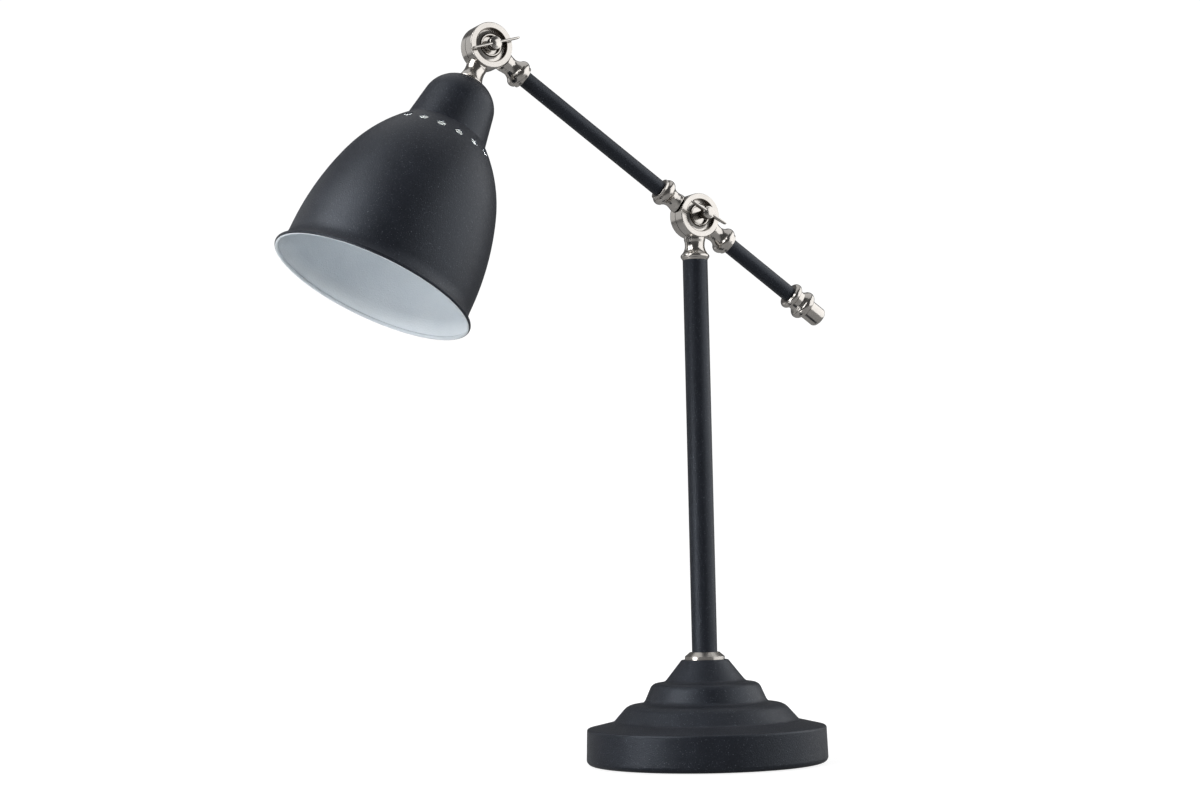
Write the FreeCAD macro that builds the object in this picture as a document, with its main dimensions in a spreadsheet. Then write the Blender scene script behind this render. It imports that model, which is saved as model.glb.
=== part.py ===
import FreeCAD, Part
import math
import os
import re

import Sketcher

# Counterweight balance desk lamp, millimetres, +Z up.
# Origin: centre of the flat face that the base rests on.
# The post stands on Z. The arm swings in the XZ plane: the shade is towards -X,
# the counterweight towards +X, and the wing screws face -Y.

doc = FreeCAD.newDocument("BalanceLamp")
sheet = doc.addObject("Spreadsheet::Sheet", "Sizes")

SIZES = {
    # stepped base cover
    "base_diameter": 180,
    "base_wall": 1.2,
    "base_lift": 0.5,
    "foot_round": 4,
    "foot_lip": 6.5,
    "ridge_inset": 0.7,
    "ridge_height": 27,
    "ridge_round": 1.8,
    "low_crease_diameter": 139,
    "low_crease_height": 31.6,
    "low_tier_diameter": 117,
    "low_tier_height": 44,
    "low_tier_round": 12,
    "mid_crease_diameter": 92.6,
    "mid_crease_height": 45.2,
    "mid_tier_diameter": 80,
    "mid_tier_height": 59.6,
    "mid_tier_round": 6.5,
    "cone_foot_diameter": 60.5,
    "cone_foot_height": 61,
    "cone_top_diameter": 35,
    "cone_top_height": 77,
    "cone_top_round": 1.5,
    "crease_round": 5,
    # what the base holds
    "pad_inset": 10,
    "pad_thickness": 1.2,
    "plate_thickness": 1.5,
    "plate_clearance": 0.4,
    "weight_inset": 15,
    "weight_rim": 19,
    "weight_web": 12,
    "weight_clearance": 0.15,
    "plate_screw_inset": 10,
    "plate_screw_diameter": 4,
    "plate_screw_length": 9,
    "plate_screw_count": 3,
    "bush_height": 12,
    "bush_bore": 6.2,
    "bush_barrel": 8.2,
    "bush_length": 4,
    "bush_flange": 11.5,
    "bush_flange_thickness": 1.6,
    # threaded nipple, its nut and washer
    "nipple_diameter": 10,
    "nipple_bore": 7,
    "nipple_clearance": 0.2,
    "nipple_grip": 18,
    "nipple_tail": 3,
    "nut_width": 14,
    "nut_height": 4,
    "washer_diameter": 24,
    "washer_thickness": 1.5,
    # collar and post
    "collar_diameter": 30,
    "collar_height": 5.6,
    "collar_bevel": 3.2,
    "collar_seat": 1.5,
    "collar_rim": 1.6,
    "post_diameter": 19,
    "post_wall": 1.2,
    "fit_clearance": 0.05,
    "end_clearance": 0.1,
    "pivot_height": 412,
    # knuckles
    "knuckle_diameter": 33.5,
    "knuckle_thickness": 19,
    "knuckle_seam": 0.6,
    "knuckle_gap": 1,
    "face_round": 0.5,
    "back_round": 2.8,
    "dish_diameter": 24.8,
    "dish_depth": 2.4,
    "dish_rise": 1,
    "dish_draft": 0.4,
    "dish_radius": 9,
    "boss_diameter": 16.8,
    "boss_rise": 0.6,
    "boss_recess_diameter": 14,
    "boss_recess_depth": 4.9,
    "chamber_inner_diameter": 13,
    "chamber_outer_diameter": 25,
    "chamber_depth": 2.8,
    "pivot_screw_diameter": 5,
    "pivot_clearance": 0.1,
    "pivot_nut_width": 8,
    "pivot_nut_height": 4,
    "pivot_washer_diameter": 13.2,
    "pivot_washer_thickness": 1.2,
    "nut_clearance": 0.1,
    # stems and the ferrules screwed to them
    "stem_root_overlap": 0.6,
    "stem_foot": 18,
    "stem_diameter": 14.8,
    "stem_end_diameter": 13.8,
    "post_stem_diameter": 16.2,
    "post_stem_end_diameter": 15.2,
    "stem_reach": 20,
    "spigot_diameter": 8,
    "spigot_length": 8,
    "spigot_end_gap": 0.3,
    "wire_bore": 5.4,
    "bead_crown": 0.9,
    "ferrule_reach": 36,
    "ferrule_waist_diameter": 13.2,
    "ferrule_waist": 2.6,
    "ferrule_flare_radius": 7.5,
    "ferrule_bead_diameter": 21.2,
    "ferrule_bead_width": 5.2,
    "ferrule_lip_diameter": 17.6,
    "ferrule_lip": 2.4,
    "ferrule_lip_round": 0.6,
    "ferrule_socket": 7.4,
    "post_ferrule_reach": 33.5,
    "post_waist_diameter": 14.9,
    "post_waist": 2.2,
    "post_flare_radius": 10,
    "post_bead_diameter": 22,
    "post_bead_width": 3.4,
    "post_ferrule_lip": 1.2,
    "post_spigot_length": 13,
    # arm
    "arm_angle": 33,
    "arm_reach": 207.5,
    "arm_tube_diameter": 12.3,
    "arm_tube_wall": 1,
    "arm_stem_count": 2,
    # counterweight
    "counter_reach": 101.5,
    "counter_length": 19.2,
    "counter_socket": 8,
    "counter_mouth_diameter": 17,
    "counter_ring_diameter": 21.2,
    "counter_ring_start": 0.7,
    "counter_ring_width": 4.2,
    "counter_groove_diameter": 15.8,
    "counter_groove_start": 6,
    "counter_groove_width": 3.6,
    "counter_bead_diameter": 23,
    "counter_bead_start": 12,
    "counter_bead_width": 6.2,
    "counter_bead_crown": 1.6,
    "counter_shoulder_diameter": 16.6,
    "knob_diameter": 15.5,
    "knob_length": 14.4,
    "knob_round": 2.6,
    "knob_stud_diameter": 5,
    "knob_stud_length": 8,
    # wing screws
    "sleeve_diameter": 6,
    "hub_diameter": 9.6,
    "hub_length": 7,
    "hub_dome": 1.2,
    "wing_count": 2,
    "wing_thickness": 1.8,
    "wing_front": 0.6,
    "wing_root": 5.2,
    "wing_tip": 2.8,
    "wing_tip_round": 1.5,
    "wing_back_radius": 60,
    "arm_screw_standoff": 14,
    "arm_screw_span": 34,
    "arm_screw_turn": 118,
    "head_screw_standoff": 8,
    "head_screw_span": 41,
    "head_screw_turn": 73,
    # stem that carries the shade
    "shade_angle": 27,
    "shade_drop": 30,
    "shade_stem_diameter": 15.4,
    "shade_waist_diameter": 15,
    "shade_waist": 1,
    "shade_flare_radius": 16,
    "shade_flange_diameter": 18.8,
    "shade_flange": 1.2,
    "shade_nipple_grip": 7,
    # shade
    "shade_wall": 0.9,
    "crown_radius": 23.6,
    "crown_centre_offset": 3.2,
    "crown_seat_diameter": 19.6,
    "neck_taper": 9.3,
    "neck_flank": 25.4,
    "shoulder_angle": 45.4,
    "shoulder_radius": 114,
    "flank_angle": 17.65,
    "flank_radius": 212,
    "skirt_length": 5.4,
    "flare_radius": 16,
    "flare_angle": 42,
    "rim_bead_diameter": 3,
    "vent_diameter": 6.4,
    "vent_count": 18,
    "vent_offset": 12.7,
    "vent_turn": 15.2,
    "shade_washer_diameter": 18.4,
    # lampholder
    "holder_drop": 9.4,
    "holder_diameter": 38,
    "holder_wall": 1.3,
    "holder_hub_length": 7,
    "holder_cap_height": 13,
    "holder_cap_round": 6,
    "holder_body_height": 33,
    "holder_joint": 3,
    "holder_lip_diameter": 29.6,
    "core_height": 9,
    "core_recess_diameter": 16,
    "core_recess_depth": 3.3,
    "thread_bore": 27,
    "thread_wall": 0.6,
    "thread_length": 22,
    "contact_diameter": 8,
    "contact_height": 3,
    "contact_dome": 1.5,
    # inner lead
    "lead_diameter": 5,
}

for row, (alias, size) in enumerate(SIZES.items(), start=1):
    cell = "A%d" % row
    sheet.set(cell, str(size))
    sheet.setAlias(cell, alias)
doc.recompute()

SIZE_NAME = re.compile(r"\b(" + "|".join(SIZES) + r")\b")

# lengths closer than this are the same, and a feature changes at least this volume
SAME_LENGTH = 1e-4
LEAST_VOLUME = 1e-3


def bound(formula):
    """Formula text with each size name pointing at its cell."""
    return SIZE_NAME.sub(r"Sizes.\1", formula)


def value(formula):
    """Present value of a formula."""
    return float(sheet.evalExpression(bound(formula)))


# ---------------------------------------------------------------- sketches

def origin_feature(body, role):
    return [item for item in body.Origin.OriginFeatures if item.Role == role][0]


def new_sketch(body, name, plane, offset=None):
    """Sketch on an origin plane, or at an offset formula along the plane's normal."""
    sketch = body.newObject("Sketcher::SketchObject", name)
    sketch.AttachmentSupport = [(origin_feature(body, plane), "")]
    sketch.MapMode = "FlatFace"
    if offset:
        sketch.setExpression("AttachmentOffset.Base.z", bound(offset))
    return sketch


def hold(sketch, kind, geometry, point, formula):
    """Tie a point's distance from the sketch origin to a formula."""
    index = sketch.addConstraint(Sketcher.Constraint(kind, -1, 1, geometry, point, value(formula)))
    sketch.setExpression("Constraints[%d]" % index, bound(formula))


def hold_radius(sketch, geometry, formula):
    index = sketch.addConstraint(Sketcher.Constraint("Radius", geometry, value(formula)))
    sketch.setExpression("Constraints[%d]" % index, bound(formula))


def arc_between(start, end, radius, side):
    """Arc from start to end; its centre is on the left of the way for side 1, right for -1."""
    reach = (end - start).Length / 2
    left = FreeCAD.Vector(start.y - end.y, end.x - start.x, 0).normalize()
    depth = math.sqrt(max(radius * radius - reach * reach, 0))
    centre = (start + end) / 2 + left * depth * side
    circle = Part.Circle(centre, FreeCAD.Vector(0, 0, 1), radius)
    first, last = (start, end) if side > 0 else (end, start)
    start_angle = math.atan2(first.y - centre.y, first.x - centre.x)
    end_angle = math.atan2(last.y - centre.y, last.x - centre.x)
    if end_angle < start_angle:
        end_angle += 2 * math.pi
    return Part.ArcOfCircle(circle, start_angle, end_angle)


def draw_outline(sketch, corners, arcs=None):
    """Closed outline through corners, each a pair of formulas.

    arcs maps the number of a side to (radius formula, side of its centre).
    """
    arcs = arcs or {}
    points = [FreeCAD.Vector(value(u), value(v), 0) for u, v in corners]
    count = len(points)
    ends = []
    for number, start in enumerate(points):
        end = points[(number + 1) % count]
        if number in arcs:
            radius, side = arcs[number]
            sketch.addGeometry(arc_between(start, end, value(radius), side), False)
            ends.append((1, 2) if side > 0 else (2, 1))
        else:
            sketch.addGeometry(Part.LineSegment(start, end), False)
            ends.append((1, 2))
    for number in range(count):
        after = (number + 1) % count
        joint = Sketcher.Constraint("Coincident", number, ends[number][1], after, ends[after][0])
        sketch.addConstraint(joint)
    for number, (u, v) in enumerate(corners):
        hold(sketch, "DistanceX", number, ends[number][0], u)
        hold(sketch, "DistanceY", number, ends[number][0], v)
    for number, (radius, side) in arcs.items():
        hold_radius(sketch, number, radius)


def draw_circle(sketch, u, v, radius):
    """Circle about a point, all three given as formulas."""
    centre = FreeCAD.Vector(value(u), value(v), 0)
    index = sketch.addGeometry(Part.Circle(centre, FreeCAD.Vector(0, 0, 1), value(radius)), False)
    hold(sketch, "DistanceX", index, 3, u)
    hold(sketch, "DistanceY", index, 3, v)
    hold_radius(sketch, index, radius)


def hexagon(width):
    """Corners of a hexagon of a given width across its flats."""
    corners = []
    for step in range(6):
        angle = 60 * step
        corners.append(("%s / sqrt(3) * cos(%d)" % (width, angle), "%s / sqrt(3) * sin(%d)" % (width, angle)))
    return corners


# ---------------------------------------------------------------- features

def new_body(name):
    body = doc.addObject("PartDesign::Body", name)
    body.Label = name
    return body


def settle(body, feature, cut=False):
    """Recompute a feature and check that it adds or cuts."""
    base = feature.BaseFeature
    before = base.Shape.Volume if base else 0
    body.Tip = feature
    doc.recompute()
    grown = feature.Shape.Volume - before
    changed = -grown if cut else grown
    if base and changed < LEAST_VOLUME:
        raise ValueError("%s of %s changes nothing" % (feature.Name, body.Label))
    return feature


def spin(body, name, corners, arcs=None, axis="Z", cut=False):
    """Turned feature: corners are (radius, along) about Z, or (along, radius) about Y."""
    sketch = new_sketch(body, name + "Profile", "XZ_Plane" if axis == "Z" else "YZ_Plane")
    draw_outline(sketch, corners, arcs)
    feature = body.newObject("PartDesign::Groove" if cut else "PartDesign::Revolution", name)
    feature.Profile = sketch
    feature.ReferenceAxis = (sketch, ["V_Axis" if axis == "Z" else "H_Axis"])
    feature.Angle = 360
    return settle(body, feature, cut)


def extrude(body, name, plane, draw, length, cut=False, reverse=False, middle=False, offset=None):
    """Pad or pocket of a sketch that draw() fills in."""
    sketch = new_sketch(body, name + "Profile", plane, offset)
    draw(sketch)
    feature = body.newObject("PartDesign::Pocket" if cut else "PartDesign::Pad", name)
    feature.Profile = sketch
    feature.setExpression("Length", bound(length))
    feature.Reversed = reverse
    feature.Midplane = middle
    return settle(body, feature, cut)


def repeat_around(body, name, feature, count, axis="Z_Axis"):
    """Polar pattern of one feature, made the body's tip."""
    pattern = body.newObject("PartDesign::PolarPattern", name)
    pattern.Originals = [feature]
    pattern.Axis = (origin_feature(body, axis), [""])
    pattern.Angle = 360
    pattern.setExpression("Occurrences", bound(count))
    body.Tip = pattern
    doc.recompute()
    return pattern


def round_ring(body, name, radius, along, size):
    """Fillet on the circular edge about Z at a radius and height."""
    base = body.Tip
    edges = []
    for number, edge in enumerate(base.Shape.Edges, start=1):
        if not isinstance(edge.Curve, Part.Circle):
            continue
        off_radius = abs(edge.Curve.Radius - value(radius))
        off_height = abs(edge.Curve.Center.z - value(along))
        if max(off_radius, off_height) < SAME_LENGTH:
            edges.append("Edge%d" % number)
    feature = body.newObject("PartDesign::Fillet", name)
    feature.Base = (base, edges)
    feature.setExpression("Radius", bound(size))
    body.Tip = feature
    doc.recompute()


def turned(name, corners, arcs=None):
    """Body that is one revolution about Z."""
    body = new_body(name)
    spin(body, "Turning", corners, arcs)
    return body


def tube(name, outer, inner, start, end):
    return turned(name, [(inner, start), (outer, start), (outer, end), (inner, end)])


def rod(name, radius, start, end):
    return tube(name, radius, "0", start, end)


def place(body, x="0", z="0", turn="0"):
    """Put a body at (x, 0, z), turned about Y."""
    body.Placement = FreeCAD.Placement(
        FreeCAD.Vector(value(x), 0, value(z)),
        FreeCAD.Rotation(FreeCAD.Vector(0, 1, 0), value(turn)),
    )
    body.setExpression("Placement.Base.x", bound(x))
    body.setExpression("Placement.Base.z", bound(z))
    body.setExpression("Placement.Rotation.Angle", bound(turn))


def at_pivot(body):
    """Put an upright piece on the middle pivot."""
    place(body, z="pivot_height")


def below_pivot(body):
    """Put a piece upside down on the middle pivot."""
    place(body, z="pivot_height", turn="180")


def at_head(body):
    """Put an upright piece on the head pivot."""
    place(body, HEAD_X, HEAD_Z)


# ---------------------------------------------------------------- shared formulas

# turns about Y that point a piece's own Z up the arm, down the arm or down the shade
ARM_UP = "arm_angle + 270"
ARM_DOWN = "arm_angle + 90"
SHADE_DOWN = "shade_angle + 180"
HEAD_X = "-arm_reach * cos(arm_angle)"
HEAD_Z = "pivot_height + arm_reach * sin(arm_angle)"

PLATE_TOP = "(pad_thickness + plate_thickness)"
SCREW_HOLE = "plate_screw_diameter / 2 + fit_clearance"
RIDGE_RADIUS = "(base_diameter / 2 - ridge_inset)"
WEIGHT_RADIUS = "(base_diameter / 2 - weight_inset)"
SCREW_CIRCLE = "(base_diameter / 2 - weight_inset - plate_screw_inset)"
LEDGE_SLOPE = "((low_crease_height - ridge_height) / (%s - low_crease_diameter / 2))" % RIDGE_RADIUS
LEDGE_RUN = "(%s - base_wall - %s)" % (RIDGE_RADIUS, WEIGHT_RADIUS)
WEIGHT_TOP = "(ridge_height - base_wall + %s * %s - weight_clearance)" % (LEDGE_RUN, LEDGE_SLOPE)
WEB_BOTTOM = "(%s - weight_web)" % WEIGHT_TOP
WASHER_BOTTOM = "(%s - washer_thickness)" % WEB_BOTTOM
NUT_BOTTOM = "(%s - nut_height)" % WASHER_BOTTOM
NIPPLE_RADIUS = "nipple_diameter / 2"
NIPPLE_HOLE = "(nipple_diameter / 2 + nipple_clearance)"
COLLAR_TOP = "(cone_top_height + collar_height)"
POST_FOOT = "(%s - collar_seat)" % COLLAR_TOP
POST_INNER = "(post_diameter / 2 - post_wall)"

KNUCKLE_RADIUS = "knuckle_diameter / 2"
PIVOT_HOLE = "(pivot_screw_diameter / 2 + pivot_clearance)"
CHAMBER_INNER = "chamber_inner_diameter / 2"
CHAMBER_OUTER = "chamber_outer_diameter / 2"
STEM_ROOT = "(max(dish_diameter; chamber_outer_diameter) / 2 + stem_root_overlap)"
SWEPT_RADIUS = "(knuckle_diameter / 2 + knuckle_gap)"
SPIGOT_HOLE = "(spigot_diameter / 2 + fit_clearance)"
SPIGOT_SEAT = "(stem_reach + spigot_length + spigot_end_gap)"
WIRE_HOLE = "wire_bore / 2"
TUBE_SEAT = "(ferrule_reach - ferrule_socket)"
TUBE_HOLE = "(arm_tube_diameter / 2 + fit_clearance)"
STUD_HOLE = "(knob_stud_diameter / 2 + fit_clearance)"
KNOB_FOOT = "(counter_reach + counter_length)"
WASHER_FACE = "(boss_recess_depth - pivot_washer_thickness - knuckle_thickness / 2)"


def crowned(width, crown):
    """Radius of an arc that spans width and stands crown proud of its ends."""
    return "(%s^2 / 4 + %s^2) / (2 * %s)" % (width, crown, crown)


# ---------------------------------------------------------------- base

def make_base_cover():
    """Spun steel cover: drum with a rolled foot, two soft tiers and a cone."""
    tiers = [
        (RIDGE_RADIUS, "ridge_height"),
        ("low_crease_diameter / 2", "low_crease_height"),
        ("low_tier_diameter / 2", "low_tier_height"),
        ("mid_crease_diameter / 2", "mid_crease_height"),
        ("mid_tier_diameter / 2", "mid_tier_height"),
        ("cone_foot_diameter / 2", "cone_foot_height"),
        ("cone_top_diameter / 2", "cone_top_height"),
    ]
    lining = [(radius + " - base_wall", height + " - base_wall") for radius, height in tiers]
    drum = "base_diameter / 2"
    foot = [
        (drum + " - foot_lip", "base_lift"),
        (drum + " - foot_round", "base_lift"),
        (drum, "base_lift + foot_round"),
    ]
    foot_lining = [
        (drum + " - base_wall", "base_lift + foot_round"),
        (drum + " - foot_round", "base_lift + base_wall"),
        (drum + " - foot_lip", "base_lift + base_wall"),
    ]
    hole = [
        (NIPPLE_HOLE, "cone_top_height"),
        (NIPPLE_HOLE, "cone_top_height - base_wall"),
    ]
    corners = foot + tiers + hole + lining[::-1] + foot_lining
    foot_arc = 1
    lining_arc = len(corners) - len(foot_lining)
    body = turned("base_cover", corners, {
        foot_arc: ("foot_round", 1),
        lining_arc: ("foot_round - base_wall", -1),
    })
    rounds = [
        ("Ridge", tiers[0], "ridge_round"),
        ("LowCrease", tiers[1], "crease_round"),
        ("LowTier", tiers[2], "low_tier_round"),
        ("MidCrease", tiers[3], "crease_round"),
        ("MidTier", tiers[4], "mid_tier_round"),
        ("ConeFoot", tiers[5], "crease_round"),
        ("ConeTop", tiers[6], "cone_top_round"),
        ("LowTierLining", lining[2], "low_tier_round - base_wall"),
        ("MidTierLining", lining[4], "mid_tier_round - base_wall"),
    ]
    for name, (radius, height), size in rounds:
        round_ring(body, name, radius, height, size)
    extrude(body, "CordHole", "XZ_Plane",
            lambda sketch: draw_circle(sketch, "0", "bush_height", "bush_barrel / 2 + fit_clearance"),
            "base_diameter", cut=True)


def make_base_weight():
    """Cast iron disc, hollow underneath for the nut and the lead."""
    body = turned("base_weight", [
        (NIPPLE_HOLE, WEIGHT_TOP),
        (NIPPLE_HOLE, WEB_BOTTOM),
        (WEIGHT_RADIUS + " - weight_rim", WEB_BOTTOM),
        (WEIGHT_RADIUS + " - weight_rim", PLATE_TOP),
        (WEIGHT_RADIUS, PLATE_TOP),
        (WEIGHT_RADIUS, WEIGHT_TOP),
    ])
    cut_screw_holes(body, PLATE_TOP + " + plate_screw_length")


def cut_screw_holes(body, depth):
    """Ring of holes for the plate screws, from the floor up to a depth."""
    hole = extrude(body, "ScrewHole", "XY_Plane",
                   lambda sketch: draw_circle(sketch, SCREW_CIRCLE, "0", SCREW_HOLE),
                   depth, cut=True, reverse=True)
    repeat_around(body, "ScrewHoles", hole, "plate_screw_count")


def make_base_plate():
    """Steel disc that closes the base inside the rolled foot."""
    radius = "base_diameter / 2 - foot_lip - plate_clearance"
    body = rod("base_plate", radius, "pad_thickness", PLATE_TOP)
    cut_screw_holes(body, PLATE_TOP)


def make_plate_screws():
    """Screws that hold the plate to the weight, as a group of separate solids."""
    body = new_body("plate_screws")
    body.AllowCompound = True
    shank = extrude(body, "Shank", "XY_Plane",
                    lambda sketch: draw_circle(sketch, SCREW_CIRCLE, "0",
                                               "plate_screw_diameter / 2"),
                    "plate_thickness + plate_screw_length - end_clearance")
    repeat_around(body, "Shanks", shank, "plate_screw_count")
    place(body, z="pad_thickness")


def make_base_pad():
    """Felt disc that the lamp rests on."""
    rod("base_pad", "base_diameter / 2 - pad_inset", "0", "pad_thickness")


def make_nipple_nut(name):
    """Hexagon nut for a threaded nipple, standing on its own XY plane."""
    body = new_body(name)
    extrude(body, "Hexagon", "XY_Plane",
            lambda sketch: draw_outline(sketch, hexagon("nut_width")), "nut_height")
    extrude(body, "Thread", "XY_Plane",
            lambda sketch: draw_circle(sketch, "0", "0", NIPPLE_RADIUS + " + fit_clearance"),
            "nut_height", cut=True, reverse=True)
    return body


def make_base_nipple():
    """Hollow threaded rod that clamps weight, cover, collar and post."""
    tube("base_nipple", NIPPLE_RADIUS, "nipple_bore / 2",
         NUT_BOTTOM + " - nipple_tail", POST_FOOT + " + nipple_grip")
    tube("nipple_washer", "washer_diameter / 2", NIPPLE_HOLE, WASHER_BOTTOM, WEB_BOTTOM)
    nut = make_nipple_nut("nipple_nut")
    place(nut, z=NUT_BOTTOM)


def make_cord_bush():
    """Flanged bush in the back of the base, where the lead comes in."""
    body = turned("cord_bush", [
        ("bush_bore / 2", "-bush_flange_thickness"),
        ("bush_flange / 2", "-bush_flange_thickness"),
        ("bush_flange / 2", "0"),
        ("bush_barrel / 2", "0"),
        ("bush_barrel / 2", "bush_length"),
        ("bush_bore / 2", "bush_length"),
    ])
    body.Placement = FreeCAD.Placement(
        FreeCAD.Vector(0, value("base_diameter / 2"), value("bush_height")),
        FreeCAD.Rotation(FreeCAD.Vector(1, 0, 0), 90),
    )
    body.setExpression("Placement.Base.y", bound("base_diameter / 2"))
    body.setExpression("Placement.Base.z", bound("bush_height"))


def make_base_collar():
    """Bevelled ring between the cone and the post."""
    turned("base_collar", [
        (NIPPLE_HOLE, "cone_top_height"),
        ("collar_diameter / 2", "cone_top_height"),
        ("collar_diameter / 2", COLLAR_TOP + " - collar_bevel"),
        ("post_diameter / 2 + collar_rim", COLLAR_TOP),
        ("post_diameter / 2 + fit_clearance", COLLAR_TOP),
        ("post_diameter / 2 + fit_clearance", POST_FOOT),
        (NIPPLE_HOLE, POST_FOOT),
    ])


# ---------------------------------------------------------------- post

def make_post():
    """Painted tube with the plug that the nipple screws into."""
    tube("post_tube", "post_diameter / 2", POST_INNER, POST_FOOT, "pivot_height - post_ferrule_reach")
    tube("post_plug", POST_INNER + " - fit_clearance", NIPPLE_RADIUS + " + fit_clearance",
         POST_FOOT, POST_FOOT + " + nipple_grip")


def make_post_ferrule():
    """Turned ferrule between the post's knuckle stem and its tube."""
    bead = "post_bead_diameter / 2 - bead_crown"
    bead_end = "post_ferrule_reach - post_ferrule_lip"
    spigot = POST_INNER + " - fit_clearance"
    body = turned("post_ferrule", [
        (SPIGOT_HOLE, "stem_reach"),
        ("post_stem_end_diameter / 2", "stem_reach"),
        ("post_waist_diameter / 2", "stem_reach + post_waist"),
        (bead, bead_end + " - post_bead_width"),
        (bead, bead_end),
        ("post_diameter / 2", "post_ferrule_reach"),
        (spigot, "post_ferrule_reach"),
        (spigot, "post_ferrule_reach + post_spigot_length"),
        (WIRE_HOLE, "post_ferrule_reach + post_spigot_length"),
        (WIRE_HOLE, SPIGOT_SEAT),
        (SPIGOT_HOLE, SPIGOT_SEAT),
    ], {2: ("post_flare_radius", -1), 3: (crowned("post_bead_width", "bead_crown"), 1)})
    below_pivot(body)


# ---------------------------------------------------------------- knuckles

def add_front_disc(body):
    """Front cup of a knuckle: flat ring, dished face, boss and the screw's recess."""
    face = "-knuckle_thickness / 2"
    seam = "-knuckle_seam / 2"
    floor = face + " + dish_depth - dish_rise"
    recess = face + " + boss_recess_depth"
    spin(body, "Disc", [
        (seam, PIVOT_HOLE),
        (seam, CHAMBER_INNER),
        (seam + " - chamber_depth", CHAMBER_INNER),
        (seam + " - chamber_depth", CHAMBER_OUTER),
        (seam, CHAMBER_OUTER),
        (seam, KNUCKLE_RADIUS),
        (face + " + face_round", KNUCKLE_RADIUS),
        (face, KNUCKLE_RADIUS + " - face_round"),
        (face, "dish_diameter / 2"),
        (face + " + dish_depth", "dish_diameter / 2 - dish_draft"),
        (floor, "boss_diameter / 2"),
        (floor + " - boss_rise", "boss_diameter / 2 - dish_draft"),
        (floor + " - boss_rise", "boss_recess_diameter / 2"),
        (recess, "boss_recess_diameter / 2"),
        (recess, PIVOT_HOLE),
    ], {6: ("face_round", 1), 9: ("dish_radius", -1)}, axis="Y")


def add_back_disc(body):
    """Back cup of a knuckle, rounded behind."""
    face = "knuckle_thickness / 2"
    seam = "knuckle_seam / 2"
    spin(body, "Disc", [
        (seam, PIVOT_HOLE),
        (seam, CHAMBER_INNER),
        (seam + " + chamber_depth", CHAMBER_INNER),
        (seam + " + chamber_depth", CHAMBER_OUTER),
        (seam, CHAMBER_OUTER),
        (seam, KNUCKLE_RADIUS),
        (face + " - back_round", KNUCKLE_RADIUS),
        (face, KNUCKLE_RADIUS + " - back_round"),
        (face, PIVOT_HOLE),
    ], {6: ("back_round", -1)}, axis="Y")


def cut_nut_pocket(body):
    """Hexagon pocket in the back that keeps the pivot nut from turning."""
    extrude(body, "NutPocket", "XZ_Plane",
            lambda sketch: draw_outline(sketch, hexagon("(pivot_nut_width + 2 * nut_clearance)")),
            "pivot_nut_height + nut_clearance", cut=True, reverse=True, offset="-knuckle_thickness / 2")


def add_stem(body, root_diameter, end_diameter):
    """Stem with a threaded spigot, growing out of a knuckle along Z."""
    return spin(body, "Stem", [
        ("0", STEM_ROOT),
        (root_diameter + " / 2", STEM_ROOT),
        (root_diameter + " / 2", "stem_foot"),
        (end_diameter + " / 2", "stem_reach"),
        ("spigot_diameter / 2", "stem_reach"),
        ("spigot_diameter / 2", "stem_reach + spigot_length"),
        ("0", "stem_reach + spigot_length"),
    ])


def trim_for_other_half(body, behind):
    """Cut the stem back round the other half of the knuckle, which lies behind or in front."""
    seam = "knuckle_seam / 2" if behind else "-knuckle_seam / 2"
    extrude(body, "Trim", "XZ_Plane", lambda sketch: draw_circle(sketch, "0", "0", SWEPT_RADIUS),
            "knuckle_thickness", cut=True, reverse=not behind, offset=seam)


def bore_wire_way(body, start, end):
    """Hole for the lead through a stem into the knuckle's chamber."""
    return spin(body, "WireWay", [("0", start), (WIRE_HOLE, start), (WIRE_HOLE, end), ("0", end)], cut=True)


def make_post_knuckle():
    """Front half of the middle knuckle, carried by the post."""
    body = new_body("post_knuckle")
    add_front_disc(body)
    add_stem(body, "post_stem_diameter", "post_stem_end_diameter")
    trim_for_other_half(body, behind=True)
    bore_wire_way(body, CHAMBER_OUTER + " - wire_bore / 2", "stem_reach + spigot_length")
    below_pivot(body)


def make_arm_knuckle():
    """Back half of the middle knuckle, with a stem for each end of the arm."""
    body = new_body("arm_knuckle")
    add_back_disc(body)
    stem = add_stem(body, "stem_diameter", "stem_end_diameter")
    repeat_around(body, "Stems", stem, "arm_stem_count", axis="Y_Axis")
    trim_for_other_half(body, behind=False)
    way = bore_wire_way(body, CHAMBER_OUTER + " - wire_bore / 2", "stem_reach + spigot_length")
    repeat_around(body, "WireWays", way, "arm_stem_count", axis="Y_Axis")
    cut_nut_pocket(body)
    place(body, z="pivot_height", turn=ARM_UP)


def make_head_knuckle():
    """Back half of the head knuckle, at the top of the arm."""
    body = new_body("head_knuckle")
    add_back_disc(body)
    add_stem(body, "stem_diameter", "stem_end_diameter")
    trim_for_other_half(body, behind=False)
    bore_wire_way(body, CHAMBER_OUTER + " - wire_bore / 2", "stem_reach + spigot_length")
    cut_nut_pocket(body)
    place(body, HEAD_X, HEAD_Z, ARM_DOWN)


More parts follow.
